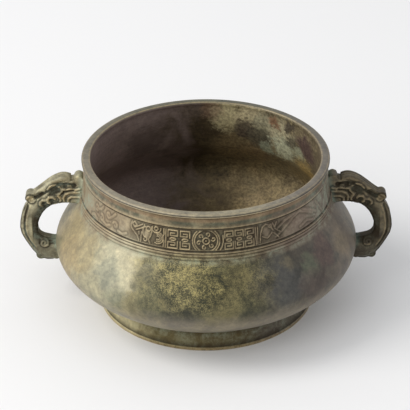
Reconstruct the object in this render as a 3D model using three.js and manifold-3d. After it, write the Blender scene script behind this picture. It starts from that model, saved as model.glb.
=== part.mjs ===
// Bronze incense burner: a low, wide-bellied basin on a foot ring, with a cast band of ornament
// round its neck and two beast-head loop handles, cast apart and brazed to its sides.
// Millimetres, +Z up. The origin is the centre of the foot ring, on its resting face.
import * as THREE from "three";
import { mergeVertices } from "three/addons/utils/BufferGeometryUtils.js";
import Module from "manifold-3d";

const wasm = await Module();
wasm.setup();

// Basin: the outline from the foot up to the lip
const footRadius = 63.6;
const footRingWidth = 4.2;
const footHeight = 12;
const footBeadHeight = 1.8;
const footBeadProud = 0.8;
const footWaistRadius = 61;
const bellyRadius = 88.1;
const bellyGirthHeight = 39.4;
const undersideFullness = 2.03;
const shoulderRadius = 73.8;
const shoulderHeight = 64.2;
const shoulderSoftness = 0.25;
const neckFootRadius = 73.4;
const neckWaistRadius = 69.8;
const neckWaistHeight = 87;
const neckSweep = 1.28;
const rimRadius = 71.2;
const rimHeight = 93.2;
const lipWidth = 5.2;
const lipDepth = 2.2;
const lipRounding = 0.9;
const wall = 3.4;
const floorThickness = 3.8;
const turns = 40;

// Neck band: raised lines below and above it, and a bead where the neck meets the shoulder
const bandFootHeight = 71.6;
const bandHeight = 11.3;
const lineWidth = 1.3;
const lineRise = 0.6;
const beadHeight = 66.4;
const beadWidth = 1.9;
const ridgeHeight = 68.9;

// Ornament on the band, laid out flat: run goes round the neck from the front or back centre
const reliefRise = 0.65;
const reliefSink = 0.7;
const strokeWidth = 1.05;
const roundelRadius = 7.4;
const roundelHubRadius = 2;
const commaRadius = 1.6;
const commaReach = 4.6;
const commaCount = 5;
const fretColumnWidth = 5.4;
const fretGap = 0.5;
const fretColumns = 2;
const dragonGap = 0.2;
const dragonHeadLength = 17;
const dragonJawRun = 5.6;
const dragonJawRadius = 3.6;
const dragonTongueRadius = 1.5;
const dragonEyeRun = 12;
const dragonEyeRadius = 1.4;
const dragonLegRun = 2.6;
const dragonTailRun = 90;
const dragonTailCurl = 2.2;

// Handles: proud of the belly, hung below the lip, and as thick as their cheeks are apart
const handleProud = 20.9;
const handleTopDrop = 15;
const handleHeight = 53.2;
const handleThickness = 8.6;
const cheekBulge = 0.5;
const headDepth = 6.8;
const loopDepth = 5.1;
const footDepth = 7.9;
const keelWidth = 1.8;
const keelBevel = 1.9;
const innerBevel = 0.9;
const crestWidth = 9.8;
const crestThickness = 2.6;
const earRadius = 3.1;
const earWidth = 7.6;
const knobRadius = 2.9;
const knobWidth = 10;
const hubRadius = 1.2;
const hubRise = 0.5;
const hookRadius = 2.9;
const hookWidth = 7.6;
const bossRadius = 2.7;
const bossRise = 0.9;
const pitRadius = 1.3;
const pitDepth = 1.3;
const eyeLength = 7.4;
const eyeWidth = 3.4;
const eyeDepth = 0.9;
const curlWidth = 1.15;
const curlRise = 1.1;
const brazeGap = 0.3;

// Sizes that follow from those above
const mouthRadius = rimRadius - lipWidth;
const recessRadius = footRadius - footRingWidth;
const bandTopHeight = bandFootHeight + bandHeight;
const bandMiddle = bandFootHeight + bandHeight / 2;
const lipUnderside = rimHeight - lipDepth;
const handleTop = rimHeight - handleTopDrop;
const cheek = handleThickness / 2;
const full = Math.PI * 2;

function blend(a, b, share) {
  return a + (b - a) * share;
}

function steps(from, to, count) {
  return Array.from({ length: count + 1 }, (_, k) => blend(from, to, k / count));
}

// Solids from closed triangle meshes, turned right side out, and back to geometry

function solidOf(geometry) {
  const bare = geometry.clone();
  bare.deleteAttribute("normal");
  bare.deleteAttribute("uv");
  const merged = mergeVertices(bare, 1e-4);
  const at = (corner) => new THREE.Vector3().fromBufferAttribute(merged.attributes.position, corner);
  const triangles = [];
  let volume = 0;
  for (let k = 0; k < merged.index.count; k += 3) {
    const [a, b, c] = [0, 1, 2].map((corner) => merged.index.getX(k + corner));
    if (a !== b && b !== c && c !== a) {
      triangles.push([a, b, c]);
      volume += at(a).dot(at(b).cross(at(c)));
    }
  }
  const outward = volume > 0 ? triangles : triangles.map(([a, b, c]) => [a, c, b]);
  return new wasm.Manifold(new wasm.Mesh({
    numProp: 3,
    vertProperties: new Float32Array(merged.attributes.position.array),
    triVerts: new Uint32Array(outward.flat()),
  }));
}

function geometryOf(solid) {
  const mesh = solid.getMesh();
  const geometry = new THREE.BufferGeometry();
  geometry.setAttribute("position", new THREE.BufferAttribute(new Float32Array(mesh.vertProperties), 3));
  geometry.setIndex(new THREE.BufferAttribute(new Uint32Array(mesh.triVerts), 1));
  geometry.computeVertexNormals();
  return geometry;
}

function joined(solids) {
  return solids.reduce((whole, next) => whole.add(next));
}

// A solid skinned over rings of equally many points, with flat ends, or closed round on itself
function skin(rings, closed = false) {
  const count = rings[0].length;
  const spans = closed ? rings.length : rings.length - 1;
  const triangles = [];
  for (let ring = 0; ring < spans; ring++) {
    const here = ring * count;
    const next = ((ring + 1) % rings.length) * count;
    for (let k = 0; k < count; k++) {
      const l = (k + 1) % count;
      triangles.push(here + k, here + l, next + l, here + k, next + l, next + k);
    }
  }
  const last = (rings.length - 1) * count;
  for (let k = 1; k < count - 1 && !closed; k++) {
    triangles.push(0, k + 1, k, last, last + k, last + k + 1);
  }
  const geometry = new THREE.BufferGeometry();
  geometry.setAttribute("position", new THREE.Float32BufferAttribute(rings.flat(2), 3));
  geometry.setIndex(triangles);
  return solidOf(geometry);
}

// A solid turned about Z from [radius, height] points that start and end on the axis
function turned(points) {
  const geometry = new THREE.LatheGeometry(points.map(([r, z]) => new THREE.Vector2(r, z)), turns);
  geometry.rotateX(Math.PI / 2);
  return solidOf(geometry);
}

// Basin outline

function undersideAt(z) {
  const share = (bellyGirthHeight - z) / (bellyGirthHeight - footHeight);
  return blend(bellyRadius, footWaistRadius, Math.pow(Math.max(share, 0), undersideFullness));
}

function shoulderAt(z) {
  const share = (z - bellyGirthHeight) / (shoulderHeight - bellyGirthHeight);
  const soft = (x) => Math.hypot(x, shoulderSoftness) - shoulderSoftness;
  return blend(bellyRadius, shoulderRadius, soft(share) / soft(1));
}

function bellyAt(z) {
  return z < bellyGirthHeight ? undersideAt(z) : shoulderAt(z);
}

// The neck's ground, under its lines and ornament, sweeps in from the shoulder to a waist
function neckAt(z) {
  const share = Math.max(neckWaistHeight - z, 0) / (neckWaistHeight - shoulderHeight);
  return blend(neckWaistRadius, neckFootRadius, Math.pow(share, neckSweep));
}

// A raised line round the neck
function line(z, width) {
  const under = z - width / 2;
  const over = z + width / 2;
  return [[neckAt(under), under], [neckAt(z) + lineRise, z], [neckAt(over), over]];
}

function footOutline() {
  const chamfer = footBeadHeight / 3;
  const stem = footRadius - footBeadProud;
  return [
    [recessRadius, chamfer],
    [recessRadius + chamfer, 0],
    [footRadius - chamfer, 0],
    [footRadius, chamfer],
    [footRadius, footBeadHeight],
    [stem, footBeadHeight + chamfer],
    [blend(stem, footWaistRadius, 0.8), blend(footBeadHeight, footHeight, 0.45)],
  ];
}

function outerOutline() {
  const belly = [
    ...steps(footHeight, bellyGirthHeight, 7),
    ...steps(bellyGirthHeight, shoulderHeight, 4).slice(1),
  ];
  return [
    ...footOutline(),
    ...belly.map((z) => [bellyAt(z), z]),
    ...line(beadHeight, beadWidth),
    ...line(ridgeHeight, lineWidth),
    ...line(bandFootHeight - lineWidth / 2, lineWidth),
    [neckAt(bandMiddle), bandMiddle],
    ...line(bandTopHeight + lineWidth / 2, lineWidth),
    [neckWaistRadius, neckWaistHeight],
    [neckWaistRadius, lipUnderside - lipRounding],
    [rimRadius - lipRounding / 2, lipUnderside],
    [rimRadius, lipUnderside + lipRounding],
    [rimRadius - lipRounding, rimHeight - lipRounding / 3],
    [blend(mouthRadius, rimRadius, 0.4), rimHeight],
    [mouthRadius, rimHeight - lipRounding / 2],
  ];
}

// The inside follows the outside at the wall's thickness, down to a nearly flat floor
function innerOutline() {
  const floorHeight = footHeight + floorThickness;
  const neckInside = neckWaistRadius - wall;
  const inset = (z) => {
    const slope = bellyAt(z + 0.5) - bellyAt(z - 0.5);
    const length = Math.hypot(1, slope);
    return [bellyAt(z) - wall / length, z + (wall * slope) / length];
  };
  return [
    [mouthRadius, lipUnderside],
    [neckInside, lipUnderside - lipRounding],
    [neckInside, neckWaistHeight],
    [neckAt(bandFootHeight) - wall, bandFootHeight],
    ...steps(shoulderHeight - 1, footHeight + wall, 6).map(inset),
    [0.75 * footWaistRadius, floorHeight + 0.25 * wall],
    [footWaistRadius / 3, floorHeight],
    [0, floorHeight],
  ];
}

function basin() {
  const ceiling = [
    [0, footHeight],
    [recessRadius - wall, footHeight - 0.3 * wall],
    [recessRadius, footHeight - wall],
  ];
  return turned([...ceiling, ...outerOutline(), ...innerOutline()]);
}

// The basin's outside alone, filled and grown by a gap, which trims what is brazed to it
function envelope(gap) {
  const grown = outerOutline().map(([r, z]) => [r + gap, z]);
  return turned([[0, -gap], ...grown, [0, rimHeight]]);
}

// Ornament

function arc(radius, count, [x, y] = [0, 0], start = 0, sweep = full) {
  return steps(start, start + sweep, count).map((angle) => [
    x + radius * Math.cos(angle),
    y + radius * Math.sin(angle),
  ]);
}

// A raised stroke along flat points; place(x, y, height) puts a flat point at a height over its ground
function stroke(points, width, low, high, place, closed = false) {
  const flat = closed ? points.slice(0, -1) : points;
  const corner = (k) => new THREE.Vector2(...flat[(k + flat.length) % flat.length]);
  const sections = flat.map((_, k) => {
    const here = corner(k);
    const back = !closed && k === 0 ? here : corner(k - 1);
    const ahead = !closed && k === flat.length - 1 ? here : corner(k + 1);
    const arriving = here.clone().sub(back).normalize();
    const leaving = ahead.clone().sub(here).normalize();
    const along = arriving.clone().add(leaving).normalize();
    const straight = arriving.lengthSq() ? arriving : leaving;
    const half = (width / 2) / Math.max(along.dot(straight), 0.7);
    const side = new THREE.Vector2(-along.y, along.x).multiplyScalar(half);
    const left = here.clone().add(side);
    const right = here.clone().sub(side);
    return [
      place(left.x, left.y, low),
      place(right.x, right.y, low),
      place(right.x, right.y, high),
      place(left.x, left.y, high),
    ];
  });
  return skin(sections, closed);
}

// Places on the neck: run goes round it from a centre line, rise goes up the band from its middle
function onNeck(centreLine, mirror) {
  return (run, rise, height) => {
    const angle = centreLine + (mirror * run) / neckAt(bandMiddle);
    const z = bandMiddle + rise;
    const radius = neckAt(z) + height;
    return [radius * Math.cos(angle), radius * Math.sin(angle), z];
  };
}

function neckStroke(points, place, closed = false) {
  return stroke(points, strokeWidth, -reliefSink, reliefRise, place, closed);
}

// A ring cut off by the band's lines above and below, round a hub and a whorl of commas
function roundel(place) {
  const commas = Array.from({ length: commaCount }, (_, k) => {
    const angle = Math.PI / 2 + (full * k) / commaCount;
    const centre = [commaReach * Math.cos(angle), commaReach * Math.sin(angle)];
    return neckStroke(arc(commaRadius, 3, centre, angle - 2.4, 4.2), place);
  });
  const reach = Math.asin(Math.min(bandHeight / 2 / roundelRadius, 1));
  const sides = [-reach, Math.PI - reach].map((start) => arc(roundelRadius, 6, [0, 0], start, reach * 2));
  return [
    ...sides.map((points) => neckStroke(points, place)),
    neckStroke(arc(roundelHubRadius, 6), place, true),
    ...commas,
  ];
}

// One fret column: a squared spiral above and its turned copy below
function fretColumn(start, flip) {
  const half = fretColumnWidth / 2;
  const top = (bandHeight - strokeWidth) / 2;
  const pitch = strokeWidth * 1.9;
  const low = 0.55 * strokeWidth + 0.4;
  const outer = [[-half, low], [-half, top], [half, top], [half, low]];
  const inner = [[pitch - half, low], [pitch - half, top - pitch]];
  const spiral = [...outer, ...inner];
  return [1, -1].map((turn) => spiral.map(([run, rise]) => [start + half + run * flip * turn, rise * turn]));
}

// A dragon in profile: jaws and eye behind the fret, and a body waving back to the handle
function dragon(start) {
  const top = (bandHeight - strokeWidth) / 2;
  const nape = start + dragonHeadLength;
  const tail = dragonTailRun;
  const wave = (from, to, lift, swing) => steps(from, to, 6).map((run) => {
    const share = (run - from) / (to - from);
    return [run, lift * (1 - 0.5 * share) + swing * Math.sin(share * full * 1.25)];
  });
  const legs = [0.16, 0.42, 0.66].map((share, k) => {
    const run = blend(nape, tail, share);
    const way = k % 2 ? 1 : -1;
    return [[run, way * 0.35 * top], [run + dragonLegRun, way * top]];
  });
  const jaws = [start + dragonJawRun, -strokeWidth / 2];
  return [
    [[start, -top], [start, top]],
    arc(dragonJawRadius, 4, jaws, 0.9, 4.2),
    arc(dragonTongueRadius, 3, jaws, 1.2, 3.6),
    [[start + 4, top], [start + 8.4, top - 0.6], [start + 11, top - 2.4], [nape - 1, top - 0.9]],
    [[start + 9.2, -top], [start + 10, 2.2 - top], [start + 12.8, 2.8 - top], [nape + 1, 1 - top]],
    wave(nape - 3, tail, 0.42 * top, 1.4),
    wave(nape + 2, tail - 5, -0.46 * top, 1.3),
    arc(dragonTailCurl, 4, [tail, 0], -2, 4.2),
    ...legs,
  ];
}

function quarterOrnament(place) {
  const pitch = fretColumnWidth + fretGap + strokeWidth;
  const first = roundelRadius + strokeWidth + fretGap;
  const columns = Array.from({ length: fretColumns }, (_, k) => k);
  const frets = columns.flatMap((k) => fretColumn(first + k * pitch, k % 2 ? -1 : 1));
  const dragonStart = first + fretColumns * pitch - fretGap + dragonGap;
  const eye = arc(dragonEyeRadius, 5, [dragonStart + dragonEyeRun, 0]);
  const open = [...frets, ...dragon(dragonStart)].map((points) => neckStroke(points, place));
  return [...open, neckStroke(eye, place, true)];
}

function ornament() {
  const strokes = [-Math.PI / 2, Math.PI / 2].flatMap((centreLine) => [
    ...roundel(onNeck(centreLine, 1)),
    ...quarterOrnament(onNeck(centreLine, 1)),
    ...quarterOrnament(onNeck(centreLine, -1)),
  ]);
  return joined(strokes);
}

// Handle

// A place on the handle's mid plane: out from the neck to the loop's edge, up from the foot to the top
function onHandle(out, up) {
  return new THREE.Vector3(
    blend(neckWaistRadius, bellyRadius + handleProud, out),
    0,
    handleTop - handleHeight * (1 - up),
  );
}

// A bar along a curve in the handle's plane; sectionAt(share) gives its [outward, sideways] points
function bar(knots, stations, sectionAt) {
  const curve = new THREE.CatmullRomCurve3(knots, false, "centripetal");
  return skin(steps(0, 1, stations).map((share) => {
    const centre = curve.getPointAt(share);
    const along = curve.getTangentAt(share);
    return sectionAt(share).map(([outward, sideways]) => [
      centre.x - along.z * outward,
      sideways,
      centre.z + along.x * outward,
    ]);
  }));
}

// The beast's neck and head at the top, bending into the loop and down to the handle's foot
function loop() {
  const knots = [
    onHandle(-0.097, 0.836),
    onHandle(0.158, 0.846),
    onHandle(0.362, 0.835),
    onHandle(0.566, 0.771),
    onHandle(0.745, 0.635),
    onHandle(0.847, 0.498),
    onHandle(0.867, 0.376),
    onHandle(0.805, 0.258),
    onHandle(0.695, 0.154),
    onHandle(0.554, 0.122),
    onHandle(0.362, 0.122),
  ];
  return bar(knots, 16, (share) => {
    const toHead = Math.pow(Math.max(1 - share / 0.5, 0), 0.8);
    const toFoot = Math.pow(Math.max((share - 0.6) / 0.4, 0), 1.2);
    const depth = loopDepth + (headDepth - loopDepth) * toHead + (footDepth - loopDepth) * toFoot;
    const half = [
      [-depth, cheek - innerBevel],
      [innerBevel - depth, cheek],
      [0, cheek + cheekBulge],
      [depth - keelBevel, cheek],
      [depth, keelWidth / 2],
    ];
    const mirrored = half.map(([outward, sideways]) => [outward, -sideways]).reverse();
    return [...half, ...mirrored];
  });
}

// The brow over the head: three rounded ribs wide, running out and down to the rolled knob
function crest() {
  const knots = [
    onHandle(0.225, 0.974),
    onHandle(0.362, 0.991),
    onHandle(0.526, 0.928),
    onHandle(0.668, 0.844),
    onHandle(0.8, 0.778),
  ];
  const half = crestWidth / 2;
  const rise = crestThickness / 2;
  return bar(knots, 7, (share) => {
    const crown = rise * (share < 0.1 ? 0.5 : 1);
    const side = [
      [-rise * 1.3, half * 0.8],
      [0, half],
      [crown, half * 0.8],
      [crown * 0.3, half * 0.42],
    ];
    const mirrored = side.map(([outward, sideways]) => [outward, -sideways]).reverse();
    return [...side, [crown, 0], ...mirrored];
  });
}

// A round boss right through the handle, its axis crosswise
function crossBoss(centre, radius, width, sides = 10) {
  const geometry = new THREE.CylinderGeometry(radius, radius, width, sides);
  geometry.translate(centre.x, centre.y, centre.z);
  return solidOf(geometry);
}

// The same boss reaching into or out of one cheek, from a depth to a height over it
function cheekBoss(centre, radius, low, high, side, sides = 8) {
  const middle = side * (cheek + (low + high) / 2);
  return crossBoss(centre.clone().setY(middle), radius, high - low, sides);
}

function eyeHollow(side) {
  const geometry = new THREE.CylinderGeometry(0.5, 0.5, 2 * eyeDepth, 10);
  const corner = onHandle(0.436, 0.872);
  geometry.scale(eyeLength, 1, eyeWidth);
  geometry.rotateY(0.6);
  geometry.translate(corner.x, side * (cheek + cheekBulge), corner.z);
  return solidOf(geometry);
}

// Raised curls of the mouth and beard on one cheek
function cheekCurls(side) {
  const curls = [
    [[0.077, 0.842], [0.23, 0.838], [0.301, 0.801], [0.296, 0.756], [0.235, 0.752]],
    [[0.378, 0.801], [0.352, 0.763], [0.367, 0.735]],
    [[0.5, 0.778], [0.474, 0.741], [0.485, 0.708]],
    [[0.617, 0.744], [0.658, 0.707], [0.648, 0.66]],
  ];
  const place = (x, z, height) => [x, side * (cheek + height), z];
  return curls.map((shares) => {
    const points = shares.map(([out, up]) => onHandle(out, up)).map(({ x, z }) => [x, z]);
    return stroke(points, curlWidth, -curlRise, curlRise, place);
  });
}

function handle() {
  const knob = onHandle(0.821, 0.767);
  const boss = onHandle(0.643, 0.218);
  const pits = [onHandle(0.263, 0.935), onHandle(0.133, 0.94)];
  const solids = [
    loop(),
    crest(),
    crossBoss(onHandle(0.092, 0.97), earRadius, earWidth),
    crossBoss(knob, knobRadius, knobWidth),
    crossBoss(knob, hubRadius, knobWidth + 2 * hubRise, 6),
    crossBoss(onHandle(0.699, 0.049), hookRadius, hookWidth),
  ];
  const hollows = [envelope(brazeGap)];
  for (const side of [-1, 1]) {
    solids.push(cheekBoss(boss, bossRadius, -bossRise, bossRise, side));
    solids.push(...cheekCurls(side));
    hollows.push(cheekBoss(boss, bossRadius - curlWidth, bossRise / 2, 2 * bossRise, side));
    hollows.push(...pits.map((pit) => cheekBoss(pit, pitRadius, -pitDepth, pitDepth, side, 6)));
    hollows.push(eyeHollow(side));
  }
  return joined(solids).subtract(joined(hollows));
}

// Finishes

function bronze(color, roughness) {
  return new THREE.MeshStandardMaterial({ color, roughness, metalness: 0.6 });
}

const burner = new THREE.Group();

const vessel = new THREE.Mesh(geometryOf(basin().add(ornament())), bronze(0x5f5a44, 0.6));
vessel.name = "vessel";
burner.add(vessel);

const handleGeometry = geometryOf(handle());

const handleRight = new THREE.Mesh(handleGeometry, bronze(0x4a4a3a, 0.65));
handleRight.name = "handle_right";
burner.add(handleRight);

const handleLeft = new THREE.Mesh(handleGeometry.clone(), bronze(0x77765c, 0.65));
handleLeft.name = "handle_left";
handleLeft.rotation.z = Math.PI;
burner.add(handleLeft);

export default burner;
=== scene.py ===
import math
import bpy
import numpy as np
from mathutils import Matrix, Vector


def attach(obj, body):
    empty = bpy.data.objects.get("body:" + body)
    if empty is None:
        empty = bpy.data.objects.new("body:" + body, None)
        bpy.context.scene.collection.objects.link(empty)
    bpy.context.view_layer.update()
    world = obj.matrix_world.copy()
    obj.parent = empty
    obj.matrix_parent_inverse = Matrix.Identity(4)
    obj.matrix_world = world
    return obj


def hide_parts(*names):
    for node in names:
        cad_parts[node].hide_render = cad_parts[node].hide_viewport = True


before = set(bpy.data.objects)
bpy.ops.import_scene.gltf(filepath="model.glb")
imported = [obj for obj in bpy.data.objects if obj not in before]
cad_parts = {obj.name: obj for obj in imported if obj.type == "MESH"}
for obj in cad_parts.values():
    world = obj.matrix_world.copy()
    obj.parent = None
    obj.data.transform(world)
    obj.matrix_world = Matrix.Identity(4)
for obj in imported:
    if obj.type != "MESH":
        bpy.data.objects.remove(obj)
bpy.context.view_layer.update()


# Paper floor, soft daylight and camera.
# The burner stands on a sheet of near-white paper. Light comes from a broad window high on the
# left, and the pale room fills the shadows.
mm = 0.001
paper_white = (0.86, 0.86, 0.865, 1)
room_tint = (0.955, 0.965, 0.98, 1)
room_brightness = 0.72

bpy.ops.object.select_all(action="DESELECT")
bpy.ops.mesh.primitive_plane_add(size=8, location=(0, 0, 0))
floor = bpy.context.object
floor.name = "paper_floor"
paper = bpy.data.materials.new("white_paper")
paper.use_nodes = True
sheet = paper.node_tree.nodes["Principled BSDF"].inputs
sheet["Roughness"].default_value = 0.9
sheet["Specular IOR Level"].default_value = 0.1
sheet["Base Color"].default_value = paper_white
floor.data.materials.append(paper)

room = bpy.context.scene.world or bpy.data.worlds.new("pale_room")
bpy.context.scene.world = room
room.use_nodes = True
room_light = room.node_tree.nodes["Background"].inputs
room_light["Color"].default_value = room_tint
room_light["Strength"].default_value = room_brightness
bpy.context.scene.view_settings.view_transform = "Standard"


def window_light(name, place, aim, width, watts, tint):
    lamp = bpy.data.lights.new(name, "AREA")
    lamp.shape = "DISK"
    lamp.size = width
    lamp.energy = watts
    lamp.color = tint
    light = bpy.data.objects.new(name, lamp)
    bpy.context.scene.collection.objects.link(light)
    light.location = place
    light.rotation_mode = "QUATERNION"
    light.rotation_quaternion = (Vector(aim) - Vector(place)).to_track_quat("-Z", "Y")


window_light("window", (-1.6, -0.25, 1.8), (0, 0, 0.04), 1.2, 25, (1, 0.98, 0.95))
window_light("window_fill", (-1.3, -1.45, 1.4), (0, 0, 0.05), 1.6, 13, (1, 0.985, 0.96))

eye_height = math.radians(29.75)
eye_distance = 1000 * mm
eye_roll = math.radians(-0.29)
aim = Vector((-0.52 * mm, 0, 59.1 * mm))
lens = bpy.data.cameras.new("photo_lens")
lens.lens = 150.6
lens.sensor_width = 36
lens.clip_end = 20
camera = bpy.data.objects.new("photo_camera", lens)
bpy.context.scene.collection.objects.link(camera)
back_off = Vector((0, -math.cos(eye_height), math.sin(eye_height))) * eye_distance
camera.matrix_world = (
    Matrix.Translation(aim + back_off)
    @ Matrix.Rotation(math.pi / 2 - eye_height, 4, "X")
    @ Matrix.Rotation(eye_roll, 4, "Z")
)
bpy.context.scene.camera = camera


# Basin: foot ring, belly, neck and lip.
# One bronze casting, turned smooth outside and left rougher within. Raised lines frame a band of
# cast ornament round its neck.
foot_radius, foot_ring_width, foot_height = 63.6, 4.2, 12
foot_waist = 61
belly_radius, girth_height, underside_fullness = 88.1, 39.4, 2.03
shoulder_radius, shoulder_height, shoulder_softness = 73.8, 64.2, 0.25
neck_foot, neck_waist, neck_waist_height, neck_sweep = 73.4, 69.8, 87, 1.28
rim_radius, rim_height, lip_width, lip_underside = 71.2, 93.2, 5.2, 91
wall, floor_thickness = 3.4, 3.8
band_foot, band_top = 71.6, 82.9
band_middle = (band_foot + band_top) / 2
turns = 440


def blend(a, b, share):
    return a + (b - a) * share


def steps(start, stop, count):
    return [blend(start, stop, k / count) for k in range(count + 1)]


def belly_at(z):
    if z < girth_height:
        share = (girth_height - z) / (girth_height - foot_height)
        return blend(belly_radius, foot_waist, share ** underside_fullness)
    share = (z - girth_height) / (shoulder_height - girth_height)
    drawn_in = math.hypot(share, shoulder_softness) - shoulder_softness
    all_the_way = math.hypot(1, shoulder_softness) - shoulder_softness
    return blend(belly_radius, shoulder_radius, drawn_in / all_the_way)


def neck_at(z):
    share = max(neck_waist_height - z, 0) / (neck_waist_height - shoulder_height)
    return blend(neck_waist, neck_foot, share ** neck_sweep)


def neck_lines(stations):
    """Lines round the neck, from [height, rise over the ground, wear]."""
    return [(neck_at(z) + rise, z, worn) for z, rise, worn in stations]


# Outline from the middle of the underside, round the foot and lip, to the middle of the floor:
# radius, height, and how worn (1) or dark (-1) the metal is there; the dark values stand for dirt, and in
# some hollows, such as the lip's inner undercut, for painted shade
def basin_outline():
    recess = foot_radius - foot_ring_width
    mouth = rim_radius - lip_width
    belly_foot = foot_height + 0.1
    bowl_floor = foot_height + floor_thickness
    inset = []
    for z in steps(shoulder_height - 1, foot_height + wall, 12):
        slope = belly_at(z + 0.4) - belly_at(z - 0.4)
        length = math.hypot(0.8, slope)
        inset.append((belly_at(z) - wall * 0.8 / length, z + wall * slope / length, 0))
    return [
        (0, foot_height, -0.2),
        (28, foot_height, -0.2),
        (recess - 3, foot_height - 0.7, -0.5),
        (recess - 0.7, foot_height - 2.6, -0.8),
        (recess, foot_height - 6, -0.4),
        (recess, 0.7, 0),
        (recess + 0.25, 0.2, 0.5),
        (recess + 0.7, 0, 0.3),
        (foot_radius - 0.6, 0, 0.3),
        (foot_radius - 0.15, 0.15, 0.9),
        (foot_radius, 0.5, 1),
        (foot_radius, 1.5, 0.5),
        (foot_radius - 0.2, 1.85, 0.6),
        (foot_radius - 0.75, 2.1, -0.8),
        (foot_radius - 0.8, 2.6, -0.6),
        (foot_radius - 1.5, 5, 0),
        (foot_radius - 2.1, 8, 0),
        (foot_waist + 0.15, 10.6, -0.4),
        (foot_waist - 0.1, 11.8, -0.9),
        (belly_at(belly_foot), belly_foot, -0.5),
        *[(belly_at(z), z, 0) for z in steps(belly_foot, girth_height, 15)[1:]],
        *[(belly_at(z), z, 0) for z in steps(girth_height, shoulder_height, 12)[1:]],
        *neck_lines([
            (65.1, 0, -0.15), (65.6, -0.15, -0.5), (66.0, 0.25, 0), (66.45, 0.45, 0.25), (66.9, 0.3, 0),
            (67.3, -0.12, -0.6), (67.7, 0.1, -0.4), (68.1, 0.5, 0), (68.5, 0.62, 0.2), (68.9, 0.5, 0),
            (69.2, -0.05, -0.8), (69.5, 0.2, -0.5), (69.75, 0.55, 0.3), (70.0, 0.65, 0.7), (70.3, 0.5, 0.1),
            (70.6, -0.25, -1.1), (70.95, -0.35, -1.2), (71.3, -0.05, -0.9),
        ]),
        *[(neck_at(z), z, 0) for z in steps(band_foot, band_top, 11)],
        *neck_lines([
            (83.25, -0.05, -0.5), (83.65, -0.28, -1), (83.95, -0.1, -0.7), (84.25, 0.35, 0.4),
            (84.6, 0.5, 0.6), (85.0, 0.35, 0.3), (85.5, 0.05, -0.15), (86.6, 0, 0),
        ]),
        (neck_waist, 88.2, 0),
        (neck_waist + 0.05, 89.8, -0.2),
        (neck_waist + 0.2, 90.6, -0.7),
        (rim_radius - 0.5, 90.95, 0.5),
        (rim_radius - 0.1, 91.2, 1),
        (rim_radius - 0.05, 91.5, 0.9),
        (rim_radius - 0.3, 91.8, -0.9),
        (rim_radius, 92.2, -0.5),
        (rim_radius - 0.12, 92.6, -0.15),
        (rim_radius - 0.6, 92.98, 0.6),
        (rim_radius - 1.5, rim_height, 0),
        (mouth + 1.6, rim_height, 0),
        (mouth + 0.5, rim_height - 0.15, 0.8),
        (mouth + 0.1, rim_height - 0.6, 0.3),
        # Painted shade: the dark values from here down darken the lip's inner undercut.
        (mouth, rim_height - 1.6, -0.3),
        (mouth + 0.3, rim_height - 2.2, -0.9),
        (mouth + 0.45, rim_height - 3, -0.5),
        (neck_waist - wall, 88, 0),
        (neck_waist - wall, 84, 0),
        (neck_at(78) - wall, 78, 0),
        (neck_at(71.6) - wall, 71.6, 0),
        *inset,
        (0.82 * foot_waist, bowl_floor + 1.1, 0),
        (0.68 * foot_waist, bowl_floor + 0.4, 0),
        (0.33 * foot_waist, bowl_floor, 0),
        (0, bowl_floor, 0),
    ]


outline = basin_outline()
bpy.ops.object.select_all(action="DESELECT")
bpy.ops.mesh.primitive_plane_add(size=mm, location=(0, 0, 0))
basin = bpy.context.object
basin.name = "basin"
bpy.ops.object.mode_set(mode="EDIT")
bpy.ops.mesh.merge(type="CENTER")
bpy.ops.transform.translate(value=(0, 0, outline[0][1] * mm))
for (r, z, _), (next_r, next_z, _) in zip(outline, outline[1:]):
    bpy.ops.mesh.extrude_region_move(
        TRANSFORM_OT_translate={"value": ((next_r - r) * mm, 0, (next_z - z) * mm)}
    )
bpy.ops.object.mode_set(mode="OBJECT")
wheel = basin.modifiers.new("wheel", "SCREW")
wheel.steps = wheel.render_steps = turns
wheel.use_merge_vertices = True
wheel.merge_threshold = 1e-6
bpy.ops.object.modifier_apply(modifier="wheel")
bpy.ops.object.mode_set(mode="EDIT")
bpy.ops.mesh.select_all(action="SELECT")
bpy.ops.mesh.remove_doubles(threshold=1e-6)
bpy.ops.mesh.normals_make_consistent(inside=False)
bpy.ops.mesh.select_mode(type="FACE")
bpy.ops.mesh.select_all(action="DESELECT")
bpy.ops.object.mode_set(mode="OBJECT")
for polygon in basin.data.polygons:
    x, y, z = polygon.center / mm
    polygon.select = math.hypot(x, y) > rim_radius - lip_width + 2 and band_foot < z < band_top
bpy.ops.object.mode_set(mode="EDIT")
bpy.ops.mesh.subdivide(number_cuts=2)
bpy.ops.mesh.select_mode(type="VERT")
bpy.ops.object.mode_set(mode="OBJECT")


def points_of(piece):
    flat = np.empty(len(piece.data.vertices) * 3)
    piece.data.vertices.foreach_get("co", flat)
    return flat.reshape(-1, 3) / mm


def set_points(piece, points):
    piece.data.vertices.foreach_set("co", (points * mm).ravel())
    piece.data.update()


def paint(piece, name, values):
    """Keeps one number for each vertex, for the material to read."""
    layer = piece.data.attributes.new(name, "FLOAT", "POINT")
    layer.data.foreach_set("value", np.asarray(values, dtype=np.float32))


def nearness(flat, strokes, half_width):
    """How far into the nearest stroke each flat point is: 1 on its middle line, 0 from its edge on."""
    nearest = np.full(len(flat), 1e9)
    for points in strokes:
        corners = np.array(points, dtype=float)
        low, high = corners.min(0) - 3, corners.max(0) + 3
        near = np.where(np.all((flat > low) & (flat < high), axis=1))[0]
        here = flat[near]
        best = nearest[near]
        for a, b in zip(corners, corners[1:]):
            along = b - a
            share = np.clip((here - a) @ along / max(along @ along, 1e-9), 0, 1)
            best = np.minimum(best, np.hypot(*(here - a - share[:, None] * along).T))
        nearest[near] = best
    return np.clip(1 - nearest / half_width, 0, 1), nearest


def arc(radius, x, y, start, sweep, count=10):
    angles = [math.radians(a) for a in steps(start, start + sweep, count)]
    return [(x + radius * math.cos(a), y + radius * math.sin(a)) for a in angles]


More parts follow.
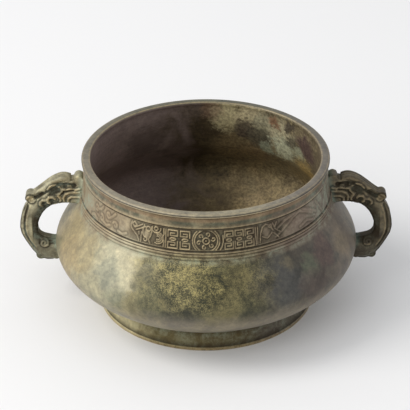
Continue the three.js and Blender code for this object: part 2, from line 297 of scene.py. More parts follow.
def scroll(x, y, outer, inner, start, sweep, count=14):
    """A curl that winds inwards."""
    return [
        (x + blend(outer, inner, k / count) * math.cos(math.radians(start + sweep * k / count)),
         y + blend(outer, inner, k / count) * math.sin(math.radians(start + sweep * k / count)))
        for k in range(count + 1)
    ]


# Ornament, laid out flat in millimetres: run from the front or back centre, rise from the band's middle.
# The dragons left and right of the roundel face each other, and were chased by hand, so they differ.
half_band = (band_top - band_foot) / 2
roundel_radius = 7.4
stroke_half, worn_half, swelling_half = 0.44, 0.7, 2.4
stroke_rise, worn_rise, swelling_rise = 0.6, 0.3, 0.3
ground_sink, worn_sink = 0.24, 0.12


def roundel():
    reach = math.degrees(math.asin(half_band / roundel_radius))
    whorl = [scroll(4.1 * math.cos(a), 3.9 * math.sin(a), 1.3, 0.5, math.degrees(a) + 200, 300)
             for a in (math.tau * k / 6 + 0.3 for k in range(6))]
    return [
        arc(roundel_radius, 0, 0, -reach, 2 * reach, 14),
        arc(roundel_radius, 0, 0, 180 - reach, 2 * reach, 14),
        arc(6.3, 0, 0, 0, 360, 40),
        arc(1.8, 0, 0, 0, 360, 14),
        arc(0.2, 0, 0, 0, 360, 4),
        *whorl,
    ]


def fret(start, width, flip):
    """One column of the key pattern: a squared hook above, its twin below, and a ring between."""
    half, top = width / 2, half_band - 0.5
    hook = [(-half, 1.2), (-half, top), (half, top), (half, 1.9),
            (-0.25 * width, 1.9), (-0.25 * width, 3.5), (0.2 * width, 3.5)]
    ring = [(start + half + 0.3 * width * math.cos(a), 0.75 * math.sin(a)) for a in steps(0, math.tau, 10)]
    return [ring] + [[(start + half + x * flip * turn, y * turn) for x, y in hook] for turn in (1, -1)]


left_dragon = [
    [(22.3, -5.2), (22.3, 5.2)],
    [(23.5, 5.2), (23.3, 2), (24.1, 0), (23.3, -2), (23.5, -5.2)],
    arc(1.1, 28, 4.4, 0, 360),
    arc(2.7, 28, 4.6, 175, 190),
    arc(3.3, 27, -0.8, 60, 235, 12),
    arc(2.2, 26.9, -0.8, 75, 215),
    arc(1.1, 26.8, -0.8, 60, 250),
    arc(1.4, 32.7, 3.2, 0, 360, 12),
    [(30.3, 5.2), (30.5, 2.4), (31.2, -0.6), (32.4, -2.8), (31.4, -5)],
    [(35.2, 5.1), (36, 2), (35.9, -0.4), (35.2, -1.6)],
    scroll(34.5, -3.2, 1.5, 0.7, 80, 300),
    [(36.8, 0.4), (37.1, -2.4), (37, -5)],
    [(38.6, 0.2), (38.4, -1.4)],
    [(40.5, 0.8), (37.6, 2.3), (34.6, 4.1)],
    [(41.2, 2.1), (38.6, 3.6), (36.4, 5)],
    [(40, 3.7), (41.6, 5.3), (43.1, 3.8), (41.5, 2.2), (40, 3.7)],
    [(43.3, 5), (44, 3), (43.5, 1), (41.4, -0.8), (39.5, -2.4), (38.3, -5)],
]
right_dragon = [
    [(9.2, 2.8), (9.3, -0.8), (8.7, -3.4), (7.5, -5.4)],
    [(27.6, 5), (27.8, -5)],
    [(28.9, 4.8), (28.7, -4.8)],
    [(30, -4.6), (30.6, 0.6), (32, 4.2), (34, 5.3), (36.4, 4), (38.5, 0.7)],
    [(31.7, -1.4), (34.6, -3), (37.8, -0.4)],
    scroll(36.8, 3.9, 1.2, 0.5, 200, 300),
    [(38.4, 4.8), (39.6, 2.2), (41, 4.9)],
    [(38.8, -1), (40.6, -2.6), (42, -4.6)],
    [(39.8, 1.4), (41.4, -0.4), (43.4, -1.6)],
]
left_worn = [
    scroll(55.4, -1.8, 1.9, 0.7, 20, 300),
    [(53, -4.2), (50, -5), (47, -3.6)],
    scroll(61.5, 2.2, 2.1, 0.6, 200, 330),
    [(59.6, 1.2), (57.8, 2.6), (56, 4.6)],
    scroll(67.4, -2.2, 2.2, 0.7, 60, 310),
    [(65.6, -3.6), (62.6, -4.6), (59.8, -3.4)],
    scroll(73, 2, 2, 0.7, 250, 320),
    [(71, 1.6), (68.6, 2.6), (66.8, 4.8)],
    [(78, -4.6), (75, -3.4), (71.4, -4.8)],
]
right_worn = [
    [(41.5, 0.7), (47, 3.8), (54.5, 5.4)],
    [(40, -3.8), (44, -1.8), (48, 0.7), (53, 3.7), (59, 5.4)],
    [(57.5, 5.4), (63.5, 3), (70, -0.7)],
    [(61, 5.3), (67, 2.6), (74, -1.6)],
    [(58, -4), (64, -2.6), (71, -5)],
    [(75, 4), (78, 0), (81, -4.6)],
]
swelling = [
    [(-50, 1.6), (-47, 0.4)],
    [(-33.4, 0.8), (-33.9, -0.6)],
    [(33.8, 1.6), (34.2, -0.6)],
    [(52, 0.4), (58, -0.6)],
]
strokes = [*roundel(), *[[(-x, y) for x, y in line] for line in left_dragon], *right_dragon]
for start, width, flip in ((8.9, 5.2, 1), (15.6, 5.4, -1)):
    strokes += [[(-x, y) for x, y in line] for line in fret(start, width, flip)]
for start, width, flip in ((10.2, 4.6, 1), (15.9, 4.6, -1), (21.6, 4.8, 1)):
    strokes += fret(start, width, flip)
worn_strokes = [*[[(-x, y) for x, y in line] for line in left_worn], *right_worn]

points = points_of(basin)
radius = np.hypot(points[:, 0], points[:, 1])
bearing = np.arctan2(points[:, 1], points[:, 0])
from_front = (bearing + math.pi / 2 + math.pi) % math.tau - math.pi
behind = np.abs(from_front) > math.pi / 2
from_middle = np.where(behind, (from_front + math.tau) % math.tau - math.pi, from_front)
outline_rz = np.array([(r, z) for r, z, _ in outline])
outline_wear_dirt_and_shade = np.array([w for _, _, w in outline])
station = np.empty(len(points), dtype=int)
batch = 20000
for start in range(0, len(points), batch):
    part = slice(start, start + batch)
    apart = np.hypot(
        radius[part, None] - outline_rz[None, :, 0],
        points[part, 2, None] - outline_rz[None, :, 1],
    )
    station[part] = apart.argmin(1)
wear_dirt_and_shade = outline_wear_dirt_and_shade[station].copy()
lip_row = next(k for k, (r, z, _) in enumerate(outline) if z == rim_height)
on_band = (station < lip_row) & (points[:, 2] > band_foot) & (points[:, 2] < band_top)
flat = np.stack([from_middle * neck_at(band_middle), points[:, 2] - band_middle], 1)[on_band]
inside, apart = nearness(flat, strokes, stroke_half)
faint, from_faint = nearness(flat, worn_strokes, worn_half)
swell, _ = nearness(flat, swelling, swelling_half)
run = np.abs(flat[:, 0])
strength = np.interp(run, [0, 26, 44, 46], [1, 1, 0.75, 0])
crown = np.clip(inside * 1.8, 0, 1) * strength
faint = np.clip(faint * 1.8, 0, 1)
hollow = np.clip(1 - (apart - 0.5) / 2.5, 0.6, 1) * (1 - crown) * strength
beside = np.clip(1 - np.abs(from_faint - 1.2) / 0.9, 0, 1) * (run > 40)
height = stroke_rise * crown + worn_rise * faint + swelling_rise * np.sqrt(swell)
height -= worn_sink * beside + ground_sink * hollow
out = points[on_band]
out[:, :2] *= (1 + height / radius[on_band])[:, None]
points[on_band] = out
# Crowns are made bright for rubbed metal and partly as painted highlight; the ground between strokes is
# darkened for dirt and partly as painted shade.
shine = np.where((flat[:, 0] > 8) | (flat[:, 0] < -24), 0.72, 0.95)
dirt_and_shade = 0.8 * hollow * (1 - swell) + 0.4 * beside + 0.08
wear_dirt_and_shade[on_band] = shine * crown + 0.35 * faint + 0.25 * swell - dirt_and_shade
set_points(basin, points)
paint(basin, "wear_dirt_and_shade", wear_dirt_and_shade)

# bronze_dark is the colour that dark values darken towards: dirt, and painted shade in shaded hollows.
bronze_dark = (0.032, 0.022, 0.011, 1)
bronze_bright = (0.58, 0.45, 0.25, 1)
fleck_gold = (0.43, 0.365, 0.155, 1)
pit_black = (0.04, 0.042, 0.026, 1)
verdigris = (0.3, 0.37, 0.29, 1)


def feed(tree, sockets, values):
    """Links each socket to its value, or sets it where the value is a number or a colour."""
    for socket, value in zip(sockets, values):
        if isinstance(value, bpy.types.NodeSocket):
            tree.links.new(value, socket)
        else:
            socket.default_value = value


def mixed(tree, share, first, second, how="MIX"):
    made = tree.nodes.new("ShaderNodeMix")
    made.data_type = "RGBA"
    made.blend_type = how
    feed(tree, (made.inputs[0], made.inputs[6], made.inputs[7]), (share, first, second))
    return made.outputs[2]


def ranged(tree, value, low, high, to_low=0, to_high=1):
    made = tree.nodes.new("ShaderNodeMapRange")
    feed(tree, made.inputs, (value, low, high, to_low, to_high))
    return made.outputs[0]


def noise(tree, where, scale, detail=6, roughness=0.6, distortion=0.0):
    made = tree.nodes.new("ShaderNodeTexNoise")
    made.inputs["Scale"].default_value = scale
    made.inputs["Detail"].default_value = detail
    made.inputs["Roughness"].default_value = roughness
    made.inputs["Distortion"].default_value = distortion
    tree.links.new(where, made.inputs["Vector"])
    return made.outputs["Fac"]


def maths(tree, how, first, second=0.0):
    made = tree.nodes.new("ShaderNodeMath")
    made.operation = how
    feed(tree, made.inputs, (first, second))
    return made.outputs[0]


def times(tree, first, second):
    return maths(tree, "MULTIPLY", first, second)


def plus(tree, first, second):
    return maths(tree, "ADD", first, second)


def axes_of(tree, where):
    """Left to right, front to back, and up."""
    made = tree.nodes.new("ShaderNodeSeparateXYZ")
    tree.links.new(where, made.inputs[0])
    return made.outputs["X"], made.outputs["Y"], made.outputs["Z"]


def stretched(tree, where, scale):
    made = tree.nodes.new("ShaderNodeMapping")
    made.inputs["Scale"].default_value = scale
    tree.links.new(where, made.inputs["Vector"])
    return made.outputs["Vector"]


def painted(tree, name):
    """Reads back the number that was painted on each vertex."""
    made = tree.nodes.new("ShaderNodeAttribute")
    made.attribute_name = name
    return made.outputs["Fac"]


# Patina, on the basin outside and the handles: a ground colour goes in, and comes out mottled and
# speckled, with dirt, verdigris and some painted shade in the hollows, and bright metal where hands have
# rubbed it
def patina_group():
    group = bpy.data.node_groups.new("patina", "ShaderNodeTree")
    for name, kind in (("Ground", "NodeSocketColor"), ("Where", "NodeSocketVector"),
                       ("Wear_dirt_and_shade", "NodeSocketFloat"), ("Speckle", "NodeSocketFloat"),
                       ("Verdigris", "NodeSocketFloat")):
        group.interface.new_socket(name=name, in_out="INPUT", socket_type=kind)
    for name, kind in (("Color", "NodeSocketColor"), ("Roughness", "NodeSocketFloat"),
                       ("Metal", "NodeSocketFloat"), ("Height", "NodeSocketFloat")):
        group.interface.new_socket(name=name, in_out="OUTPUT", socket_type=kind)
    came = group.nodes.new("NodeGroupInput")
    goes = group.nodes.new("NodeGroupOutput")
    where = came.outputs["Where"]
    broad = noise(group, where, 85, 7, 0.68, 0.6)
    fine = noise(group, where, 430, 7, 0.8)
    grit = noise(group, where, 1700, 3, 0.65)
    shade = mixed(group, ranged(group, broad, 0.36, 0.64), (0.56, 0.57, 0.57, 1), (1.36, 1.32, 1.2, 1))
    coarse = ranged(group, came.outputs["Speckle"], 0, 1, 0.5, 1)
    colour = mixed(group, coarse, came.outputs["Ground"], shade, "MULTIPLY")
    shade = mixed(group, ranged(group, fine, 0.38, 0.62), (0.6, 0.6, 0.62, 1), (1.36, 1.33, 1.22, 1))
    colour = mixed(group, coarse, colour, shade, "MULTIPLY")
    clouds = ranged(group, broad, 0.34, 0.64)
    specks = plus(group, times(group, fine, 0.45), times(group, grit, 0.55))
    flecks = times(group, ranged(group, specks, 0.41, 0.59), plus(group, clouds, 0.1))
    gold_share = times(group, flecks, came.outputs["Speckle"])
    colour = mixed(group, gold_share, colour, fleck_gold)
    pits = times(group, ranged(group, specks, 0.55, 0.46), ranged(group, broad, 0.66, 0.43))
    pits = times(group, pits, came.outputs["Speckle"])
    colour = mixed(group, pits, colour, pit_black)
    # Dark values darken the colour towards bronze_dark: dirt, and painted shade in the shaded hollows.
    dirt_and_shade = ranged(group, came.outputs["Wear_dirt_and_shade"], 0.0, -0.8)
    colour = mixed(group, times(group, dirt_and_shade, 0.9), colour, bronze_dark)
    green = times(group, came.outputs["Verdigris"], ranged(group, broad, 0.42, 0.62))
    green = times(group, green, ranged(group, fine, 0.36, 0.6))
    colour = mixed(group, green, colour, verdigris)
    rubbed = times(group, ranged(group, came.outputs["Wear_dirt_and_shade"], 0.2, 1.0), ranged(group, fine, 0.3, 0.56))
    colour = mixed(group, times(group, rubbed, 0.75), colour, bronze_bright)
    group.links.new(colour, goes.inputs["Color"])
    rough = plus(group, ranged(group, fine, 0.3, 0.7, 0.4, 0.6), times(group, dirt_and_shade, 0.25))
    group.links.new(maths(group, "SUBTRACT", rough, times(group, rubbed, 0.1)), goes.inputs["Roughness"])
    metal = ranged(group, plus(group, gold_share, rubbed), 0, 1, 0.35, 0.7)
    group.links.new(metal, goes.inputs["Metal"])
    relief = plus(group, times(group, fine, 0.6), times(group, grit, 0.4))
    group.links.new(relief, goes.inputs["Height"])
    return group


patina = patina_group()


def skin_of(tree, ground, where, wear_dirt_and_shade, speckle, greening):
    """The patina over one ground colour."""
    made = tree.nodes.new("ShaderNodeGroup")
    made.node_tree = patina
    feed(tree, made.inputs, (ground, where, wear_dirt_and_shade, speckle, greening))
    return made.outputs


def finish_of(name, bump=0.25):
    """A new material with its Principled shader, and the object's own coordinates."""
    made = bpy.data.materials.new(name)
    made.use_nodes = True
    tree = made.node_tree
    shader = tree.nodes["Principled BSDF"]
    shader.inputs["Specular IOR Level"].default_value = 0.25
    where = tree.nodes.new("ShaderNodeTexCoord").outputs["Object"]
    bumps = tree.nodes.new("ShaderNodeBump")
    bumps.inputs["Strength"].default_value = bump
    bumps.inputs["Distance"].default_value = 0.0004
    tree.links.new(bumps.outputs["Normal"], shader.inputs["Normal"])
    return made, tree, shader, where, bumps.inputs["Height"]


def ramp(tree, share, stops):
    made = tree.nodes.new("ShaderNodeValToRGB")
    tree.links.new(share, made.inputs["Fac"])
    band = made.color_ramp.elements
    while len(band) < len(stops):
        band.new(0.5)
    for element, (place, colour) in zip(band, stops):
        element.position = place
        element.color = (*colour, 1)
    return made.outputs["Color"]


def patch(tree, where, ragged, centre, reach, breakup):
    """A ragged patch round a place on the piece."""
    apart = tree.nodes.new("ShaderNodeVectorMath")
    apart.operation = "DISTANCE"
    tree.links.new(where, apart.inputs[0])
    apart.inputs[1].default_value = [c * mm for c in centre]
    edge = times(tree, maths(tree, "SUBTRACT", ragged, 0.5), breakup * mm)
    return ranged(tree, plus(tree, apart.outputs["Value"], edge), reach * mm, 0.55 * reach * mm)


# Colours round the outside, by degrees from the front centre, on the belly and neck and on the foot
belly_colours = [
    (-180, (0.19, 0.17, 0.115)),
    (-120, (0.3, 0.26, 0.17)),
    (-88, (0.34, 0.29, 0.19)),
    (-70, (0.36, 0.3, 0.18)),
    (-56, (0.37, 0.34, 0.24)),
    # The pale stop at -38 degrees is partly pale patina, partly a painted highlight where the window's
    # sheen falls.
    (-38, (0.46, 0.43, 0.3)),
    (-27, (0.26, 0.235, 0.145)),
    (-12, (0.145, 0.13, 0.075)),
    (10, (0.12, 0.108, 0.06)),
    (24, (0.082, 0.075, 0.057)),
    (48, (0.105, 0.091, 0.078)),
    (76, (0.19, 0.162, 0.137)),
    (92, (0.2, 0.17, 0.13)),
    (180, (0.19, 0.17, 0.115)),
]
foot_colours = [
    (-180, (0.12, 0.1, 0.055)),
    (-90, (0.56, 0.5, 0.31)),
    (-48, (0.56, 0.5, 0.3)),
    (-28, (0.15, 0.12, 0.05)),
    (18, (0.1, 0.075, 0.032)),
    (35, (0.11, 0.09, 0.068)),
    (90, (0.13, 0.11, 0.09)),
    (180, (0.12, 0.1, 0.055)),
]
# Lip colours by facing: the front is lighter as a painted highlight of the lip's sheen, the right and back
# darker as painted shade.
lip_tones_with_painted_light = [
    (-180, (0.13, 0.13, 0.1)),
    (-90, (0.2, 0.185, 0.155)),
    (-35, (0.3, 0.27, 0.22)),
    (15, (0.34, 0.31, 0.24)),
    (50, (0.22, 0.2, 0.175)),
    (90, (0.16, 0.148, 0.135)),
    (180, (0.13, 0.13, 0.1)),
]

outside, tree, shader, where, height_in = finish_of("basin_patina")
sideways, deep, up = axes_of(tree, where)
facing = maths(tree, "ARCTAN2", sideways, times(tree, deep, -1.0))
ragged = noise(tree, where, 70, 6, 0.68, 0.4)
drift = times(tree, maths(tree, "SUBTRACT", ragged, 0.5), 0.5)
facing = plus(tree, facing, drift)
round_share = ranged(tree, facing, -math.pi, math.pi)
ground = ramp(tree, round_share, [((degrees + 180) / 360, tint) for degrees, tint in belly_colours])
cool = mixed(tree, 1.0, ground, (0.64, 0.71, 0.76, 1), "MULTIPLY")
blue_grey = ranged(tree, noise(tree, where, 48, 5, 0.6, 0.5), 0.5, 0.62)
ground = mixed(tree, times(tree, blue_grey, 0.8), ground, cool)
on_neck = times(tree, ranged(tree, up, 0.0625, 0.0655), ranged(tree, up, 0.0905, 0.0895))
tan_left = times(tree, on_neck, ranged(tree, facing, -0.25, -0.85, 0.4, 0.8))
ground = mixed(tree, tan_left, ground, (0.37, 0.275, 0.18, 1))
rosy_right = times(tree, on_neck, ranged(tree, facing, 0.4, 0.8, 0, 0.65))
ground = mixed(tree, rosy_right, ground, (0.19, 0.14, 0.115, 1))
# Patches on the belly, by place, reach, raggedness, tint and strength: bare metal, dirt and verdigris; the
# first, pale cream one on the left front is partly pale patina and partly a painted highlight
for centre, reach, breakup, tint, strength in (
    ((-48, -62, 58), 21, 34, (0.5, 0.465, 0.345), 0.55),
    ((-56, -61, 52), 10, 26, (0.25, 0.26, 0.21), 0.65),
    ((-70, -44, 56), 14, 30, (0.41, 0.34, 0.2), 0.55),
    ((-78, -34, 44), 14, 30, (0.37, 0.29, 0.17), 0.45),
    ((5, -81, 54), 12, 30, (0.035, 0.035, 0.023), 0.9),
    ((-14, -86, 43), 16, 32, (0.06, 0.062, 0.052), 0.85),
    ((-30, -80, 45), 12, 30, (0.085, 0.09, 0.064), 0.75),
    ((-36, -74, 56), 8, 28, (0.12, 0.115, 0.075), 0.7),
    ((18, -80, 58), 9, 28, (0.09, 0.08, 0.045), 0.7),
    ((26, -83, 44), 9, 28, (0.075, 0.075, 0.05), 0.6),
    ((42, -74, 52), 18, 30, (0.085, 0.086, 0.086), 0.75),
    ((58, -58, 54), 8, 24, (0.15, 0.17, 0.12), 0.45),
    ((48, -66, 60), 7, 26, (0.17, 0.145, 0.1), 0.6),
    ((34, -80, 52), 8, 30, (0.055, 0.05, 0.04), 0.7),
    ((56, -64, 46), 7, 26, (0.17, 0.15, 0.13), 0.5),
    ((68, -46, 58), 12, 28, (0.14, 0.1, 0.09), 0.7),
    ((60, -60, 40), 12, 30, (0.1, 0.078, 0.07), 0.6),
    ((80, -30, 52), 12, 18, (0.25, 0.2, 0.14), 0.5),
    ((20, 80, 52), 20, 30, (0.11, 0.115, 0.095), 0.5),
    ((-50, 62, 56), 18, 28, (0.3, 0.28, 0.19), 0.5),
    ((60, 55, 48), 16, 26, (0.22, 0.19, 0.11), 0.5),
):
    share = times(tree, patch(tree, where, ragged, centre, reach, breakup), strength)
    ground = mixed(tree, share, ground, (*tint, 1))
warm_low = ranged(tree, plus(tree, up, times(tree, drift, 0.03)), 0.04, 0.03, 0, 0.6)
ground = mixed(tree, warm_low, ground, (0.31, 0.27, 0.21, 1))
foot_ground = ramp(tree, round_share, [((degrees + 180) / 360, tint) for degrees, tint in foot_colours])
ground = mixed(tree, ranged(tree, up, 0.0125, 0.0115), ground, foot_ground)
# The lip's ground carries its painted highlight at the front and painted shade at the right and back.
lip_ground_with_painted_light = ramp(tree, round_share, [((degrees + 180) / 360, tint) for degrees, tint in lip_tones_with_painted_light])
ground = mixed(tree, ranged(tree, up, 0.0906, 0.0911, 0, 0.9), ground, lip_ground_with_painted_light)
under_lip = times(tree, ranged(tree, up, 0.0845, 0.0865), ranged(tree, up, 0.09, 0.0885))
under_lip = times(tree, under_lip, ranged(tree, ragged, 0.4, 0.54, 0.1, 0.9))
ground = mixed(tree, under_lip, ground, (0.085, 0.088, 0.062, 1))
tan_zone = times(tree, ranged(tree, up, 0.0872, 0.0886), ranged(tree, up, 0.0911, 0.0906))
ground = mixed(tree, times(tree, tan_zone, 0.7), ground, (0.27, 0.175, 0.1, 1))
speckle_share = times(tree, ranged(tree, facing, -0.56, -0.4), ranged(tree, facing, 0.52, 0.34))
speckle_share = times(tree, speckle_share, ranged(tree, up, 0.036, 0.045))
speckle_share = times(tree, speckle_share, ranged(tree, up, 0.07, 0.066, 0.2, 1))
thick_flecks = plus(tree, patch(tree, where, ragged, (-9, -81, 56), 20, 26), 0.42)
speckle_share = times(tree, speckle_share, ranged(tree, thick_flecks, 0, 1))
near_handles = ranged(tree, maths(tree, "ABSOLUTE", sideways), 0.055, 0.07, 0.15, 1.15)
low_lines = times(tree, ranged(tree, up, 0.0625, 0.0645), ranged(tree, up, 0.0675, 0.0665, 0, 0.6))
at_foot = times(tree, ranged(tree, up, 0.003, 0.011, 0.2, 0.7), ranged(tree, up, 0.0145, 0.0125))
greens = maths(tree, "MAXIMUM", times(tree, near_handles, on_neck), plus(tree, low_lines, at_foot))
skin = skin_of(tree, ground, where, painted(tree, "wear_dirt_and_shade"), speckle_share, greens)
for source, target in (("Color", "Base Color"), ("Roughness", "Roughness"), ("Metal", "Metallic")):
    tree.links.new(skin[source], shader.inputs[target])
tree.links.new(skin["Height"], height_in)

# Bowl: smooth and brown on the left, near black in the middle, crusted and olive on the right
within, tree, shader, where, height_in = finish_of("bowl_patina", 0.5)
sideways, deep, up = axes_of(tree, where)
broad = noise(tree, where, 34, 6, 0.62, 0.6)
fine = noise(tree, where, 620, 4, 0.68)
ragged = noise(tree, stretched(tree, where, (0.8, 0.8, 1.15)), 190, 8, 0.82)
drift = times(tree, maths(tree, "SUBTRACT", broad, 0.5), 0.1)
across = ranged(tree, plus(tree, sideways, drift), -0.07, 0.07)
ground = ramp(tree, across, [
    (0.0, (0.26, 0.2, 0.19)),
    (0.3, (0.17, 0.13, 0.118)),
    (0.5, (0.05, 0.036, 0.02)),
    (0.64, (0.11, 0.088, 0.05)),
    (0.82, (0.2, 0.17, 0.105)),
    (1.0, (0.16, 0.13, 0.09)),
])
low_bowl = ranged(tree, plus(tree, up, drift), 0.046, 0.026, 0, 0.6)
low_right = times(tree, low_bowl, ranged(tree, across, 0.35, 0.62))
ground = mixed(tree, low_right, ground, (0.31, 0.245, 0.14, 1))
shade = mixed(tree, ranged(tree, ragged, 0.38, 0.62), (0.62, 0.6, 0.58, 1), (1.34, 1.32, 1.24, 1))
coarse = ranged(tree, across, 0.35, 0.6, 0.3, 1)
colour = mixed(tree, coarse, ground, shade, "MULTIPLY")
# Patches of verdigris, ochre, rust and bare olive metal, by place, reach, raggedness, tint and strength
for centre, reach, breakup, tint, strength in (
    ((17, 72, 60), 15, 34, (0.18, 0.135, 0.07), 0.75),
    ((32, 66, 58), 12, 34, (0.2, 0.145, 0.075), 0.7),
    ((14, 65.4, 85), 13, 36, (0.44, 0.39, 0.23), 0.85),
    ((27, 61, 85), 12, 36, (0.46, 0.4, 0.25), 0.85),
    ((36, 56, 80), 12, 34, (0.26, 0.25, 0.17), 0.8),
    ((46, 49, 79), 14, 36, (0.5, 0.46, 0.31), 0.85),
    ((24, 63, 76), 8, 26, (0.06, 0.045, 0.034), 0.85),
    ((34, 60, 71), 10, 28, (0.085, 0.075, 0.052), 0.85),
    ((47, 51, 68), 11, 36, (0.48, 0.5, 0.36), 0.9),
    ((38, 59, 65), 6, 24, (0.3, 0.33, 0.24), 0.75),
    ((42, 51.6, 86), 5, 26, (0.22, 0.11, 0.06), 0.85),
    ((50, 44, 86), 6, 24, (0.06, 0.045, 0.035), 0.85),
    ((52, 43, 76), 6, 24, (0.07, 0.06, 0.045), 0.8),
    ((60, 31, 78), 12, 28, (0.11, 0.072, 0.066), 0.9),
    ((55, 40, 70), 7, 26, (0.36, 0.38, 0.27), 0.75),
    ((62, 40, 58), 13, 34, (0.46, 0.34, 0.14), 0.85),
    ((68, 26, 52), 12, 32, (0.42, 0.34, 0.17), 0.7),
    ((57, 52, 50), 10, 30, (0.24, 0.19, 0.1), 0.7),
    ((66, 12, 66), 14, 30, (0.22, 0.18, 0.125), 0.6),
    ((4, 66, 88), 8, 24, (0.2, 0.13, 0.085), 0.6),
    ((-38, 60, 70), 16, 36, (0.09, 0.066, 0.056), 0.6),
    ((-60, 28, 50), 18, 30, (0.2, 0.15, 0.12), 0.6),
    ((30, 66, 23), 8, 22, (0.42, 0.33, 0.19), 0.6),
    ((-20, -60, 50), 22, 30, (0.24, 0.2, 0.11), 0.6),
    ((40, -50, 70), 16, 24, (0.28, 0.33, 0.24), 0.6),
):
    share = times(tree, patch(tree, where, ragged, centre, reach, breakup), strength)
    colour = mixed(tree, share, colour, (*tint, 1))
lines = noise(tree, stretched(tree, where, (0.18, 0.18, 2.2)), 330, 3, 0.6)
scored = mixed(tree, ranged(tree, lines, 0.4, 0.62), (0.93, 0.93, 0.93, 1), (1.07, 1.07, 1.05, 1))
colour = mixed(tree, 1.0, colour, scored, "MULTIPLY")
grain = mixed(tree, ranged(tree, fine, 0.36, 0.62), (0.6, 0.58, 0.56, 1), (1.3, 1.28, 1.22, 1))
colour = mixed(tree, coarse, colour, grain, "MULTIPLY")
tree.links.new(colour, shader.inputs["Base Color"])
tree.links.new(ranged(tree, fine, 0.3, 0.7, 0.5, 0.75), shader.inputs["Roughness"])
tree.links.new(plus(tree, times(tree, broad, 2.0), fine), height_in)
shader.inputs["Metallic"].default_value = 0.15

basin.data.materials.append(outside)
basin.data.materials.append(within)
centres = np.empty(len(basin.data.polygons) * 3)
basin.data.polygons.foreach_get("center", centres)
centres = centres.reshape(-1, 3) / mm
first_corner = np.array([p.vertices[0] for p in basin.data.polygons])
past_lip = station[first_corner] >= lip_row + 3
in_mouth = np.hypot(centres[:, 0], centres[:, 1]) < rim_radius - lip_width + 0.5
in_bowl = past_lip & (in_mouth | (centres[:, 2] < lip_underside))
basin.data.polygons.foreach_set("material_index", in_bowl.astype(np.int32))
basin.data.polygons.foreach_set("use_smooth", np.ones(len(basin.data.polygons), dtype=bool))
basin.data.update()
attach(basin, "root")
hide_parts("vessel")


# Handles: beast heads biting the neck, their bodies bent down into loops.
# Each is a bronze casting of its own, chased on its cheeks and brazed on at the neck and belly,
# where the joint has turned green.
cheek = 4.3
rib_apart = 2.7
knob_place = (101.7, 65.9)
remesh_grain = 0.38
handle_speckle = 0.12


def turned_rod(name, radius, width, x, z, sides=40):
    """A round bar lying crosswise through the handle."""
    bpy.ops.object.select_all(action="DESELECT")
    bpy.ops.mesh.primitive_cylinder_add(
        vertices=sides, radius=radius * mm, depth=width * mm,
        location=(x * mm, 0, z * mm), rotation=(math.pi / 2, 0, 0),
    )
    rod = bpy.context.object
    rod.name = name
    return rod


def bent_rod(name, knots, side=0):
    """A bar along knots of [outward, up, radius] in the handle's plane, at one distance from its middle."""
    curve = bpy.data.curves.new(name, "CURVE")
    curve.dimensions = "3D"
    curve.bevel_depth = mm
    curve.bevel_resolution = 4
    curve.use_fill_caps = True
    line = curve.splines.new("NURBS")
    line.points.add(len(knots) - 1)
    for point, (x, z, radius) in zip(line.points, knots):
        point.co = (x * mm, side * mm, z * mm, 1)
        point.radius = radius
    line.order_u = 3
    line.use_endpoint_u = True
    rod = bpy.data.objects.new(name, curve)
    bpy.context.scene.collection.objects.link(rod)
    bpy.ops.object.select_all(action="DESELECT")
    rod.select_set(True)
    bpy.context.view_layer.objects.active = rod
    bpy.ops.object.convert(target="MESH")
    return bpy.context.object


# The loop's outline, outward and up: over the head, down the outer edge, up the joint on the belly,
# round the hole, and up the joint on the neck
over_head = [(70.2, 78.4), (75, 77.8), (80, 77.2), (86, 75.4), (91, 72.2)]
outer_edge = [
    (95, 69.2), (99.5, 66.6), (103, 63.4), (105.6, 59.6), (107.4, 55.4), (108.4, 50.6), (108.8, 46.2),
    (108.1, 42), (106.3, 38), (104.2, 34.2), (102.2, 30.8), (99.8, 27.8), (97, 25.4), (94, 24.3),
    (90.6, 24.4),
]
belly_joint = [(87.4, 25.6), (82.6, 27.6), (85.3, 33)]
hole_edge = [
    (86.7, 38.2), (89.4, 38.5), (92.5, 39.2), (95.1, 39.9), (97.2, 41.1), (98.4, 43.2), (98.6, 46),
    (98.1, 49), (97, 52.4), (95.2, 55.9), (92.7, 58.9), (89.8, 61), (86.3, 62.3), (82.4, 62.9),
    (78.4, 62.8), (72.9, 62.2),
]
neck_joint = [(72, 66), (71.2, 70), (70.5, 74)]
loop_outline = [*over_head, *outer_edge, *belly_joint, *hole_edge, *neck_joint]


